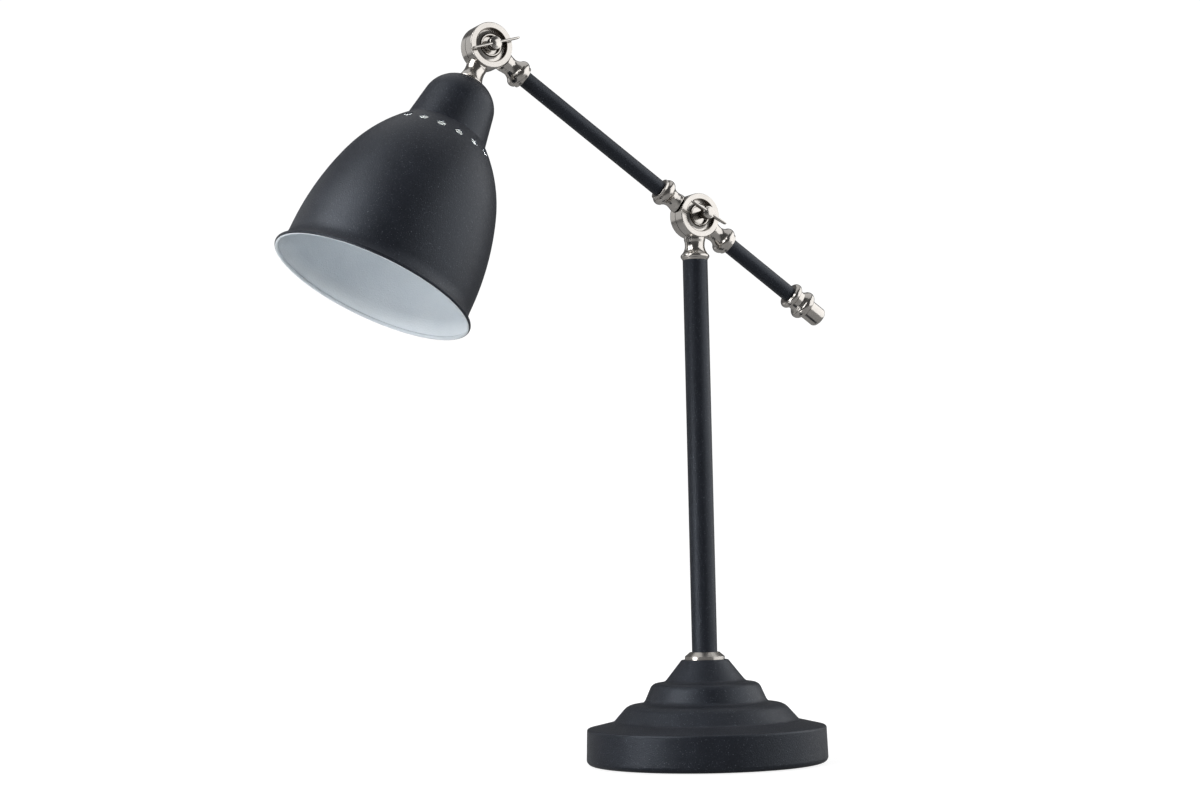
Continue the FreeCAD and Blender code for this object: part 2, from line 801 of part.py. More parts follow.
def make_shade_knuckle():
    """Front half of the head knuckle, with the flanged stem that the shade hangs on."""
    body = new_body("shade_knuckle")
    add_front_disc(body)
    waist_end = "stem_foot + shade_waist"
    flange_start = "shade_drop - shade_flange"
    spin(body, "Stem", [
        ("0", STEM_ROOT),
        ("shade_stem_diameter / 2", STEM_ROOT),
        ("shade_stem_diameter / 2", "stem_foot"),
        ("shade_waist_diameter / 2", waist_end),
        ("shade_flange_diameter / 2", flange_start),
        ("shade_flange_diameter / 2", "shade_drop"),
        ("0", "shade_drop"),
    ], {3: ("shade_flare_radius", -1)})
    trim_for_other_half(body, behind=True)
    bore_wire_way(body, CHAMBER_OUTER + " - wire_bore / 2", "shade_drop")
    seat = "shade_drop - shade_nipple_grip"
    thread = NIPPLE_RADIUS + " + fit_clearance"
    spin(body, "NippleThread", [("0", seat), (thread, seat), (thread, "shade_drop"), ("0", "shade_drop")],
         cut=True)
    place(body, HEAD_X, HEAD_Z, SHADE_DOWN)


def make_pivot_hardware(prefix, put):
    """Friction washer, pressure washer and nut of one knuckle."""
    friction = new_body(prefix + "_friction_washer")
    seam = "knuckle_seam / 2 - fit_clearance"
    spin(friction, "Ring", [
        ("-(%s)" % seam, PIVOT_HOLE),
        ("-(%s)" % seam, CHAMBER_INNER),
        (seam, CHAMBER_INNER),
        (seam, PIVOT_HOLE),
    ], axis="Y")
    put(friction)
    washer = new_body(prefix + "_pressure_washer")
    floor = "(boss_recess_depth - knuckle_thickness / 2)"
    spin(washer, "Ring", [
        (floor, PIVOT_HOLE),
        (floor, "pivot_washer_diameter / 2"),
        (WASHER_FACE, "pivot_washer_diameter / 2"),
        (WASHER_FACE, PIVOT_HOLE),
    ], axis="Y")
    put(washer)
    nut = new_body(prefix + "_pivot_nut")
    extrude(nut, "Hexagon", "XZ_Plane", lambda sketch: draw_outline(sketch, hexagon("pivot_nut_width")),
            "pivot_nut_height", offset="-knuckle_thickness / 2")
    extrude(nut, "Thread", "XZ_Plane", lambda sketch: draw_circle(sketch, "0", "0", PIVOT_HOLE),
            "pivot_nut_height", cut=True, reverse=True, offset="-knuckle_thickness / 2")
    put(nut)


# ---------------------------------------------------------------- arm

def make_arm_ferrule(name):
    """Bell-shaped ferrule that screws on a stem and takes the end of an arm tube."""
    bead = "ferrule_bead_diameter / 2 - bead_crown"
    bead_end = "ferrule_reach - ferrule_lip"
    lip = "ferrule_lip_diameter / 2"
    return turned(name, [
        (SPIGOT_HOLE, "stem_reach"),
        ("stem_end_diameter / 2", "stem_reach"),
        ("ferrule_waist_diameter / 2", "stem_reach + ferrule_waist"),
        (bead, bead_end + " - ferrule_bead_width"),
        (bead, bead_end),
        (lip, bead_end),
        (lip, "ferrule_reach - ferrule_lip_round"),
        (lip + " - ferrule_lip_round", "ferrule_reach"),
        (TUBE_HOLE, "ferrule_reach"),
        (TUBE_HOLE, TUBE_SEAT),
        (SPIGOT_HOLE, TUBE_SEAT),
    ], {
        2: ("ferrule_flare_radius", -1),
        3: (crowned("ferrule_bead_width", "bead_crown"), 1),
        6: ("ferrule_lip_round", 1),
    })


def make_arm():
    """Ferrules and tubes on both sides of the middle knuckle."""
    outer = "arm_tube_diameter / 2"
    inner = "arm_tube_diameter / 2 - arm_tube_wall"
    start = TUBE_SEAT + " + end_clearance"
    place(make_arm_ferrule("upper_ferrule"), z="pivot_height", turn=ARM_UP)
    place(make_arm_ferrule("lower_ferrule"), z="pivot_height", turn=ARM_DOWN)
    place(make_arm_ferrule("head_ferrule"), HEAD_X, HEAD_Z, ARM_DOWN)
    upper = tube("upper_tube", outer, inner, start, "arm_reach - (%s)" % start)
    place(upper, z="pivot_height", turn=ARM_UP)
    lower = tube("lower_tube", outer, inner, start, "counter_reach + counter_socket - end_clearance")
    place(lower, z="pivot_height", turn=ARM_DOWN)


def make_counterweight():
    """Solid turned counterweight and the knob whose stud closes its end."""
    ring = "counter_ring_diameter / 2 - bead_crown"
    ring_start = "counter_reach + counter_ring_start"
    groove = "counter_groove_diameter / 2"
    groove_start = "counter_reach + counter_groove_start"
    bead = "counter_bead_diameter / 2 - counter_bead_crown"
    bead_start = "counter_reach + counter_bead_start"
    body = turned("counterweight", [
        (TUBE_HOLE, "counter_reach"),
        ("counter_mouth_diameter / 2", "counter_reach"),
        (ring, ring_start),
        (ring, ring_start + " + counter_ring_width"),
        (groove, groove_start),
        (groove, groove_start + " + counter_groove_width"),
        (bead, bead_start),
        (bead, bead_start + " + counter_bead_width"),
        ("counter_shoulder_diameter / 2", KNOB_FOOT),
        (STUD_HOLE, KNOB_FOOT),
        (STUD_HOLE, "counter_reach + counter_socket"),
        (TUBE_HOLE, "counter_reach + counter_socket"),
    ], {
        2: (crowned("counter_ring_width", "bead_crown"), 1),
        6: (crowned("counter_bead_width", "counter_bead_crown"), 1),
    })
    place(body, z="pivot_height", turn=ARM_DOWN)
    knob = "knob_diameter / 2"
    knob_end = KNOB_FOOT + " + knob_length"
    stud = "knob_stud_diameter / 2"
    body = turned("counterweight_knob", [
        ("0", KNOB_FOOT + " - knob_stud_length"),
        (stud, KNOB_FOOT + " - knob_stud_length"),
        (stud, KNOB_FOOT),
        (knob, KNOB_FOOT),
        (knob, knob_end + " - knob_round"),
        (knob + " - knob_round", knob_end),
        ("0", knob_end),
    ], {4: ("knob_round", 1)})
    place(body, z="pivot_height", turn=ARM_DOWN)


# ---------------------------------------------------------------- wing screws

def make_wing_screw(name, standoff, span):
    """Wing screw: domed hub with two flat wings, clamping sleeve and threaded shank."""
    body = new_body(name)
    tip = "-knuckle_thickness / 2 - " + standoff
    hub = "hub_diameter / 2"
    shank = "pivot_screw_diameter / 2"
    shank_end = "knuckle_thickness / 2 - end_clearance"
    spin(body, "Turning", [
        (tip, "0"),
        (tip + " + hub_dome", hub),
        (tip + " + hub_length", hub),
        (tip + " + hub_length", "sleeve_diameter / 2"),
        (WASHER_FACE, "sleeve_diameter / 2"),
        (WASHER_FACE, shank),
        (shank_end, shank),
        (shank_end, "0"),
    ], {0: (crowned("hub_diameter", "hub_dome"), -1)}, axis="Y")
    reach = span + " / 2"
    front = tip + " + wing_front"
    back = tip + " + wing_root"
    tip_back = tip + " + wing_front + wing_tip"
    wing = [
        (front, "0"),
        (front, reach + " - wing_tip_round"),
        (front + " + wing_tip_round", reach),
        (tip_back, reach + " - wing_tip_round"),
        (back, hub),
        (back, "0"),
    ]
    arcs = {1: ("wing_tip_round", -1), 3: ("wing_back_radius", -1)}
    pad = extrude(body, "Wing", "YZ_Plane", lambda sketch: draw_outline(sketch, wing, arcs),
                  "wing_thickness", middle=True)
    repeat_around(body, "Wings", pad, "wing_count", axis="Y_Axis")
    return body


def make_wing_screws():
    arm_screw = make_wing_screw("arm_wing_screw", "arm_screw_standoff", "arm_screw_span")
    place(arm_screw, z="pivot_height", turn="arm_screw_turn")
    head_screw = make_wing_screw("head_wing_screw", "head_screw_standoff", "head_screw_span")
    place(head_screw, HEAD_X, HEAD_Z, "head_screw_turn")


# ---------------------------------------------------------------- shade

def shade_profile():
    """Corners of the shade's outer and inner skin, from the crown seat to the rim.

    Each is (radius, depth below the seat). The lining is parallel to the outside.
    """
    seat = "crown_seat_diameter / 2"
    centre = "sqrt(crown_radius^2 - (%s - crown_centre_offset)^2)" % seat
    neck = "(crown_centre_offset + crown_radius * cos(neck_taper))"
    neck_depth = "(%s - crown_radius * sin(neck_taper))" % centre
    crease = "(%s + neck_flank * sin(neck_taper))" % neck
    crease_depth = "(%s + neck_flank * cos(neck_taper))" % neck_depth
    shoulder = "(%s + shoulder_radius * (cos(flank_angle) - cos(shoulder_angle)))" % crease
    shoulder_depth = "(%s + shoulder_radius * (sin(shoulder_angle) - sin(flank_angle)))" % crease_depth
    flank = "(%s + flank_radius * (1 - cos(flank_angle)))" % shoulder
    flank_depth = "(%s + flank_radius * sin(flank_angle))" % shoulder_depth
    skirt_depth = "(%s + skirt_length)" % flank_depth
    rim = "(%s + flare_radius * (1 - cos(flare_angle)))" % flank
    rim_depth = "(%s + flare_radius * sin(flare_angle))" % skirt_depth
    outer = [
        (seat, "0"),
        (neck, neck_depth),
        (crease, crease_depth),
        (shoulder, shoulder_depth),
        (flank, flank_depth),
        (flank, skirt_depth),
        (rim, rim_depth),
    ]
    mitre = "shade_wall / (1 + cos(shoulder_angle - neck_taper))"
    lining = [
        ("(crown_centre_offset + sqrt((crown_radius - shade_wall)^2 - (%s - shade_wall)^2))" % centre,
         "shade_wall"),
        (neck + " - shade_wall * cos(neck_taper)", neck_depth + " + shade_wall * sin(neck_taper)"),
        (crease + " - %s * (cos(neck_taper) + cos(shoulder_angle))" % mitre,
         crease_depth + " + %s * (sin(neck_taper) + sin(shoulder_angle))" % mitre),
        (shoulder + " - shade_wall * cos(flank_angle)", shoulder_depth + " + shade_wall * sin(flank_angle)"),
        (flank + " - shade_wall", flank_depth),
        (flank + " - shade_wall", skirt_depth),
        (rim + " - shade_wall * cos(flare_angle)", rim_depth + " + shade_wall * sin(flare_angle)"),
    ]
    return outer, lining


def make_shade():
    """Spun shade: domed neck, bell, flared rim with a bead, and a ring of vents."""
    outer, lining = shade_profile()
    hole = [(NIPPLE_HOLE, "shade_wall"), (NIPPLE_HOLE, "0")]
    corners = outer + lining[::-1] + hole
    last = len(outer) - 1
    radii = ["crown_radius", None, "shoulder_radius", "flank_radius", None, "flare_radius"]
    arcs = {}
    for number, radius in enumerate(radii):
        if radius is None:
            continue
        hollow = radius == "flare_radius"
        arcs[number] = (radius, -1 if hollow else 1)
        mate = 2 * last - number
        lining_radius = radius + (" + shade_wall" if hollow else " - shade_wall")
        arcs[mate] = (lining_radius, 1 if hollow else -1)
    body = turned("shade", corners, arcs)
    rim, rim_depth = outer[-1]
    inner_rim, inner_depth = lining[-1]
    middle = "(%s + %s) / 2" % (rim, inner_rim)
    middle_depth = "(%s + %s) / 2" % (rim_depth, inner_depth)
    sketch = new_sketch(body, "RimBeadProfile", "XZ_Plane")
    draw_circle(sketch, middle, middle_depth, "rim_bead_diameter / 2")
    bead = body.newObject("PartDesign::Revolution", "RimBead")
    bead.Profile = sketch
    bead.ReferenceAxis = (sketch, ["V_Axis"])
    bead.Angle = 360
    settle(body, bead)
    cut_vents(body, outer[2])
    place_below_head(body, "shade_drop")


def cut_vents(body, crease):
    """Ring of round vents, square to the shoulder just below the crease."""
    angle = "(shoulder_angle - vent_offset / shoulder_radius * 180 / pi)"
    radius = "(%s + shoulder_radius * (cos(%s) - cos(shoulder_angle)))" % (crease[0], angle)
    depth = "(%s + shoulder_radius * (sin(shoulder_angle) - sin(%s)))" % (crease[1], angle)
    inside_radius = "(%s - vent_diameter / 2 * cos(%s))" % (radius, angle)
    inside_depth = "(%s + vent_diameter / 2 * sin(%s))" % (depth, angle)
    vent = body.newObject("PartDesign::SubtractiveCylinder", "Vent")
    vent.AttachmentSupport = [(origin_feature(body, "XY_Plane"), "")]
    vent.MapMode = "FlatFace"
    turn = math.radians(value("vent_turn"))
    vent.AttachmentOffset = FreeCAD.Placement(
        FreeCAD.Vector(0, 0, 0),
        FreeCAD.Rotation(FreeCAD.Vector(-math.sin(turn), math.cos(turn), 0), value("90 + " + angle)),
    )
    vent.setExpression("AttachmentOffset.Base.x", bound(inside_radius + " * cos(vent_turn)"))
    vent.setExpression("AttachmentOffset.Base.y", bound(inside_radius + " * sin(vent_turn)"))
    vent.setExpression("AttachmentOffset.Base.z", bound(inside_depth))
    vent.setExpression("AttachmentOffset.Rotation.Angle", bound("90 + " + angle))
    vent.setExpression("Radius", bound("vent_diameter / 2"))
    vent.setExpression("Height", bound("vent_diameter"))
    settle(body, vent, cut=True)
    repeat_around(body, "Vents", vent, "vent_count")


def place_below_head(body, drop="0"):
    """Put a piece on the shade's axis, a distance below the head pivot."""
    x = "%s - (%s) * sin(shade_angle)" % (HEAD_X, drop)
    z = "%s - (%s) * cos(shade_angle)" % (HEAD_Z, drop)
    place(body, x, z, SHADE_DOWN)


# ---------------------------------------------------------------- lampholder

def make_shade_fixing():
    """Nipple, washer and nut that hold the shade to its stem."""
    nipple = tube("shade_nipple", NIPPLE_RADIUS, "nipple_bore / 2",
                  "end_clearance - shade_nipple_grip", "holder_drop + holder_hub_length")
    place_below_head(nipple, "shade_drop")
    washer = tube("shade_washer", "shade_washer_diameter / 2", NIPPLE_HOLE,
                  "shade_wall", "shade_wall + washer_thickness")
    place_below_head(washer, "shade_drop")
    nut = make_nipple_nut("shade_nut")
    place_below_head(nut, "shade_drop + shade_wall + washer_thickness")


def make_lampholder():
    """Cap, body, ceramic core, threaded shell and centre contact, drawn from the cap's top."""
    outer = "holder_diameter / 2"
    inner = outer + " - holder_wall"
    sleeve = inner + " - fit_clearance"
    lining = sleeve + " - holder_wall"
    hub = NIPPLE_RADIUS + " + fit_clearance"
    cap = turned("lampholder_cap", [
        (hub, "0"),
        (outer + " - holder_cap_round", "0"),
        (outer, "holder_cap_round"),
        (outer, "holder_cap_height"),
        (inner, "holder_cap_height"),
        (inner, "holder_cap_round"),
        (outer + " - holder_cap_round", "holder_wall"),
        (hub + " + holder_wall", "holder_wall"),
        (hub + " + holder_wall", "holder_hub_length"),
        (hub, "holder_hub_length"),
    ], {1: ("holder_cap_round", 1), 5: ("holder_cap_round - holder_wall", -1)})
    joint = "holder_cap_height - holder_joint"
    mouth = "holder_cap_height + holder_body_height"
    lip = "holder_lip_diameter / 2"
    shell = turned("lampholder_body", [
        (lining, joint),
        (sleeve, joint),
        (sleeve, "holder_cap_height"),
        (outer, "holder_cap_height"),
        (outer, mouth),
        (lip, mouth),
        (lip, mouth + " - holder_wall"),
        (lining, mouth + " - holder_wall"),
    ])
    core_end = joint + " + core_height"
    seat = core_end + " - core_recess_depth"
    core = turned("lampholder_core", [
        ("0", joint),
        (lining + " - fit_clearance", joint),
        (lining + " - fit_clearance", core_end),
        ("core_recess_diameter / 2", core_end),
        ("core_recess_diameter / 2", seat),
        ("0", seat),
    ])
    thread = tube("lampholder_thread", "thread_bore / 2 + thread_wall", "thread_bore / 2",
                  core_end, core_end + " + thread_length")
    contact = turned("lampholder_contact", [
        ("0", seat),
        ("contact_diameter / 2", seat),
        ("contact_diameter / 2", seat + " + contact_height - contact_dome"),
        ("0", seat + " + contact_height"),
    ], {2: (crowned("contact_diameter", "contact_dome"), 1)})
    for piece in (cap, shell, core, thread, contact):
        place_below_head(piece, "shade_drop + holder_drop")


# ---------------------------------------------------------------- inner leads

def make_leads():
    """Straight runs of the inner lead, one for each moving part that holds one."""
    radius = "lead_diameter / 2"
    post = rod("post_lead", radius, SWEPT_RADIUS, "pivot_height - %s + nipple_tail" % NUT_BOTTOM)
    below_pivot(post)
    arm = rod("arm_lead", radius, SWEPT_RADIUS, "arm_reach - " + SWEPT_RADIUS)
    place(arm, z="pivot_height", turn=ARM_UP)
    head = rod("head_lead", radius, SWEPT_RADIUS, "shade_drop + holder_drop + holder_hub_length")
    place(head, HEAD_X, HEAD_Z, SHADE_DOWN)


make_base_cover()
make_base_weight()
make_base_plate()
make_plate_screws()
make_base_pad()
make_base_nipple()
make_cord_bush()
make_base_collar()
make_post()
make_post_ferrule()
make_post_knuckle()
make_arm_knuckle()
make_pivot_hardware("arm", at_pivot)
make_arm()
make_counterweight()
make_head_knuckle()
make_shade_knuckle()
make_pivot_hardware("head", at_head)
make_wing_screws()
make_shade()
make_shade_fixing()
make_lampholder()
make_leads()

doc.recompute()
for item in doc.Objects:
    if "Invalid" in item.State or "Error" in item.State:
        raise ValueError("%s failed to recompute" % item.Name)

os.makedirs("parts", exist_ok=True)
for item in doc.Objects:
    if item.TypeId != "PartDesign::Body":
        continue
    if item.Shape.isNull() or not item.Shape.isValid():
        raise ValueError("%s has no valid shape" % item.Label)
    item.Shape.exportStep("parts/%s.step" % item.Label)
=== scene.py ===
import math

import bmesh
import bpy
from mathutils import Matrix, Vector


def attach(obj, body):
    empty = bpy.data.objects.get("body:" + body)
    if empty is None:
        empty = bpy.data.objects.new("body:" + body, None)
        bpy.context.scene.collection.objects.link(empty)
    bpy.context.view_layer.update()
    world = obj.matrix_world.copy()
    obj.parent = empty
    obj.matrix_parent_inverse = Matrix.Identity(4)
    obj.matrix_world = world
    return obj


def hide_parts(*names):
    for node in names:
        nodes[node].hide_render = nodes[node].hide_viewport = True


# Counterweight balance desk lamp, metres, in the CAD model's own frame:
# the post stands on Z, the arm swings in the XZ plane with the shade towards -X.
# Every CAD node gets a material. The two wing screws and the lampholder's thread
# are replaced by pieces with finer shapes.

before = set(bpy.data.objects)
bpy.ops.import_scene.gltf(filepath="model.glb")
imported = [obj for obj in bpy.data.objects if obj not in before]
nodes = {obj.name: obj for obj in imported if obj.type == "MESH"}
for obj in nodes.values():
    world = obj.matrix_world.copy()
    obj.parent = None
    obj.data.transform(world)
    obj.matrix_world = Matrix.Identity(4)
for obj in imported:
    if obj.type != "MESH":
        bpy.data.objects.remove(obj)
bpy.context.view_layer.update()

# ---------------------------------------------------------------- places

UP = Vector((0, 0, 1))
ACROSS = Vector((0, 1, 0))
ARM_ANGLE = math.radians(33)
ARM_REACH = 0.2075
ARM_AXIS = Vector((-math.cos(ARM_ANGLE), 0, math.sin(ARM_ANGLE)))
PIVOT = Vector((0, 0, 0.412))  # middle knuckle
HEAD = PIVOT + ARM_REACH * ARM_AXIS  # head knuckle
SHADE_ANGLE = math.radians(27)
SHADE_AXIS = Vector((-math.sin(SHADE_ANGLE), 0, -math.cos(SHADE_ANGLE)))
SHADE_DROP = 0.030  # from the head knuckle to the shade's seat
HOLDER_DROP = 0.0094  # from there to the lampholder

# ---------------------------------------------------------------- shader nodes

NOISE_SPREAD = (0.3, 0.7)  # where most values of a noise texture lie
MIXED_SPREAD = (0.35, 0.65)  # the same for a weighted sum of two textures
VALUE_OPERATIONS = ("DOT_PRODUCT", "LENGTH")


def new_material(name):
    """New node material: (material, its node tree, its Principled shader)."""
    material = bpy.data.materials.new(name)
    material.use_nodes = True
    tree = material.node_tree
    return material, tree, tree.nodes["Principled BSDF"]


def add(tree, kind, inputs=None, **settings):
    """New node of a kind; inputs are numbers, vectors or sockets to link."""
    node = tree.nodes.new(kind)
    for name, setting in settings.items():
        setattr(node, name, setting)
    for name, source in (inputs or {}).items():
        socket = node.inputs[name]
        if isinstance(source, bpy.types.NodeSocket):
            tree.links.new(source, socket)
        else:
            socket.default_value = source
    return node


def link(tree, source, shader, name):
    tree.links.new(source, shader.inputs[name])


def maths(tree, operation, first, second=0.0):
    return add(tree, "ShaderNodeMath", {0: first, 1: second}, operation=operation).outputs[0]


def vector_maths(tree, operation, *sources):
    """Result of a vector operation: a number where it gives one, or else a vector."""
    node = add(tree, "ShaderNodeVectorMath", dict(enumerate(sources)), operation=operation)
    return node.outputs["Value" if operation in VALUE_OPERATIONS else "Vector"]


def weighted_sum(tree, first, share, second):
    """A share of the first value plus the rest of the second."""
    return maths(tree, "ADD", maths(tree, "MULTIPLY", first, share),
                 maths(tree, "MULTIPLY", second, 1 - share))


def remap(tree, source, old, new=(0, 1)):
    """Value carried from one range to another and held at its ends."""
    inputs = {"Value": source, "From Min": old[0], "From Max": old[1],
              "To Min": new[0], "To Max": new[1]}
    return add(tree, "ShaderNodeMapRange", inputs).outputs["Result"]


def noise(tree, vector, scale, detail):
    """Value of a noise texture; scale is in features to the metre."""
    node = add(tree, "ShaderNodeTexNoise", {"Vector": vector, "Scale": scale, "Detail": detail})
    return node.outputs["Fac"]


def position(tree):
    return add(tree, "ShaderNodeTexCoord").outputs["Object"]


def camera_ray(tree):
    """1 for light that the camera sees directly, 0 for light that falls on the lamp."""
    return add(tree, "ShaderNodeLightPath").outputs["Is Camera Ray"]


def blend_colours(tree, factor, first, second):
    """First colour at factor 0, second at 1: inputs 6 and 7 of a Mix node, and its output 2."""
    inputs = {0: factor, 6: first, 7: second}
    return add(tree, "ShaderNodeMix", inputs, data_type="RGBA").outputs[2]


def bump(tree, shader, height, distance):
    node = add(tree, "ShaderNodeBump", {"Height": height, "Distance": distance})
    link(tree, node.outputs["Normal"], shader, "Normal")


def turned_place(tree, origin, axis):
    """(radius, distance along the axis) of a point on a turned piece, as a vector."""
    from_origin = vector_maths(tree, "SUBTRACT", position(tree), origin)
    along = vector_maths(tree, "DOT_PRODUCT", from_origin, axis)
    across = vector_maths(tree, "CROSS_PRODUCT", from_origin, axis)
    radius = vector_maths(tree, "LENGTH", across)
    return add(tree, "ShaderNodeCombineXYZ", {"X": radius, "Y": along}).outputs["Vector"]


# ---------------------------------------------------------------- materials

PAINT_DARK = (0.0068, 0.0080, 0.0120, 1)
PAINT_LIGHT = (0.0140, 0.0165, 0.0235, 1)
PAINT_ROUGHNESS = (0.38, 0.48)
PAINT_SPECULAR = 0.42
PAINT_SHEEN = (0.80, 0.88, 1.0, 1)
GRAIN_SCALE = 1100
GRAIN_HEIGHT = 0.00022
GRAIN_SHARE = 0.6
PAINT_MOTTLE_SCALE = 60
FLECK_COLOUR = (0.085, 0.092, 0.11, 1)
FLECK_SCALE = 1500
FLECK_RANGE = (0.735, 0.80)


def sand_paint(tree, shader):
    """Charcoal powder coat with a fine sand grain and a few light flecks; gives its colour."""
    place = position(tree)
    grain = noise(tree, place, GRAIN_SCALE, detail=3)
    mottle = noise(tree, place, PAINT_MOTTLE_SCALE, detail=4)
    tone = weighted_sum(tree, grain, GRAIN_SHARE, mottle)
    colour = blend_colours(tree, remap(tree, tone, MIXED_SPREAD), PAINT_DARK, PAINT_LIGHT)
    fleck = remap(tree, noise(tree, place, FLECK_SCALE, detail=0), FLECK_RANGE)
    colour = blend_colours(tree, fleck, colour, FLECK_COLOUR)
    link(tree, remap(tree, grain, NOISE_SPREAD, PAINT_ROUGHNESS), shader, "Roughness")
    shader.inputs["Specular IOR Level"].default_value = PAINT_SPECULAR
    shader.inputs["Specular Tint"].default_value = PAINT_SHEEN
    bump(tree, shader, grain, GRAIN_HEIGHT)
    return colour


def make_sand_paint():
    material, tree, shader = new_material("charcoal_sand_paint")
    link(tree, sand_paint(tree, shader), shader, "Base Color")
    return material


# Inside enamel: white, painted lighter up in the neck so that it shows bright through the vents,
# and painted darker, with a random mottle, towards the rim.
ENAMEL_NECK_PAINTED_LIGHT = (0.88, 0.90, 0.91, 1)
ENAMEL_RIM_SHADE_PALE = (0.74, 0.79, 0.83, 1)
ENAMEL_RIM_SHADE_DEEP = (0.68, 0.735, 0.78, 1)
ENAMEL_PAINTED_LIGHT_FADE = (0.055, 0.085)  # depths between which the neck's painted light turns into the painted shade near the rim
ENAMEL_MOTTLE_SCALE = 45
FACES_IN = -0.05  # a face is inside where its normal's outward part is less than this
FACES_DOWN = 0.9  # it is under the rim where the part down the axis is more than this


def make_shade_paint():
    """Sand paint outside, cool white enamel inside and under the rim, told by the normal."""
    material, tree, shader = new_material("shade_paint")
    outside = sand_paint(tree, shader)
    seat = HEAD + SHADE_DROP * SHADE_AXIS
    from_seat = vector_maths(tree, "SUBTRACT", position(tree), seat)
    depth = vector_maths(tree, "DOT_PRODUCT", from_seat, SHADE_AXIS)
    foot = add(tree, "ShaderNodeVectorMath", {0: SHADE_AXIS, "Scale": depth}, operation="SCALE")
    radial = vector_maths(tree, "SUBTRACT", from_seat, foot.outputs["Vector"])
    outwards = vector_maths(tree, "NORMALIZE", radial)
    normal = add(tree, "ShaderNodeTexCoord").outputs["Normal"]
    facing_out = vector_maths(tree, "DOT_PRODUCT", normal, outwards)
    facing_down = vector_maths(tree, "DOT_PRODUCT", normal, SHADE_AXIS)
    faces_in = maths(tree, "LESS_THAN", facing_out, FACES_IN)
    mask = maths(tree, "MAXIMUM", faces_in, maths(tree, "GREATER_THAN", facing_down, FACES_DOWN))
    # painted light in the neck, painted shade with a random mottle towards the rim
    mottle = noise(tree, position(tree), ENAMEL_MOTTLE_SCALE, detail=3)
    shaded_mottle_near_rim = blend_colours(tree, remap(tree, mottle, NOISE_SPREAD), ENAMEL_RIM_SHADE_DEEP, ENAMEL_RIM_SHADE_PALE)
    inside = blend_colours(tree, remap(tree, depth, ENAMEL_PAINTED_LIGHT_FADE), ENAMEL_NECK_PAINTED_LIGHT, shaded_mottle_near_rim)
    link(tree, blend_colours(tree, mask, outside, inside), shader, "Base Color")
    return material


# Painted shade and grime: dark lines drawn in the steps of a knuckle's front face, where shade
# gathers in the dish and round the boss.
STEP_SHADE_AND_GRIME_COLOUR = (0.10, 0.085, 0.07, 1)
SHADED_STEP_RADII = (0.01225, 0.00845, 0.0069)
SHADED_STEP_HALF_WIDTH = 0.00028
SHADED_STEP_FRONT = -0.004  # the lines are drawn only in front of this distance along +Y

LATHE_SCALE = 5200
LATHE_HEIGHT = 0.000004
LATHE_SHARE = 0.7
CLOUD_SCALE = 120


def step_shade_and_grime_lines(tree, place):
    """Mask of the painted shade and grime lines in the steps of a knuckle's front face."""
    parts = add(tree, "ShaderNodeSeparateXYZ", {"Vector": place}).outputs
    lines = 0.0
    for radius in SHADED_STEP_RADII:
        away = maths(tree, "ABSOLUTE", maths(tree, "SUBTRACT", parts["X"], radius))
        line = remap(tree, away, (SHADED_STEP_HALF_WIDTH, SHADED_STEP_HALF_WIDTH * 2), (1, 0))
        lines = maths(tree, "MAXIMUM", lines, line)
    front = maths(tree, "LESS_THAN", parts["Y"], SHADED_STEP_FRONT)
    return maths(tree, "MULTIPLY", lines, front)


def make_turned_metal(name, origin, axis, dark, light, rough, shaded_steps=False):
    """Metal with fine lathe marks round an axis, and painted shade and grime lines in its steps
    where they are asked for.
    """
    material, tree, shader = new_material(name)
    place = turned_place(tree, origin, axis)
    marks = noise(tree, place, LATHE_SCALE, detail=3)
    cloud = noise(tree, position(tree), CLOUD_SCALE, detail=2)
    colour = blend_colours(tree, remap(tree, cloud, NOISE_SPREAD), dark, light)
    # painted shade and grime darken the steps of the front face
    if shaded_steps:
        colour = blend_colours(tree, step_shade_and_grime_lines(tree, place), colour, STEP_SHADE_AND_GRIME_COLOUR)
    link(tree, colour, shader, "Base Color")
    shader.inputs["Metallic"].default_value = 1.0
    tone = weighted_sum(tree, marks, LATHE_SHARE, cloud)
    link(tree, remap(tree, tone, MIXED_SPREAD, rough), shader, "Roughness")
    bump(tree, shader, marks, LATHE_HEIGHT)
    return material


def make_plain(name, dark, light, rough, scale, height, metallic=0.0, coat=0.0):
    """Evenly grained finish: two tones, a roughness range and a bump."""
    material, tree, shader = new_material(name)
    grain = noise(tree, position(tree), scale, detail=4)
    colour = blend_colours(tree, remap(tree, grain, NOISE_SPREAD), dark, light)
    link(tree, colour, shader, "Base Color")
    link(tree, remap(tree, grain, NOISE_SPREAD, rough), shader, "Roughness")
    shader.inputs["Metallic"].default_value = metallic
    shader.inputs["Coat Weight"].default_value = coat
    bump(tree, shader, grain, height)
    return material


def paint(material, *names):
    """Give CAD nodes a material."""
    for name in names:
        slots = nodes[name].data.materials
        slots.clear()
        slots.append(material)


NICKEL_LIGHT = (0.54, 0.515, 0.485, 1)
NICKEL_DARK = (0.48, 0.457, 0.430, 1)
NICKEL_ROUGHNESS = (0.15, 0.24)

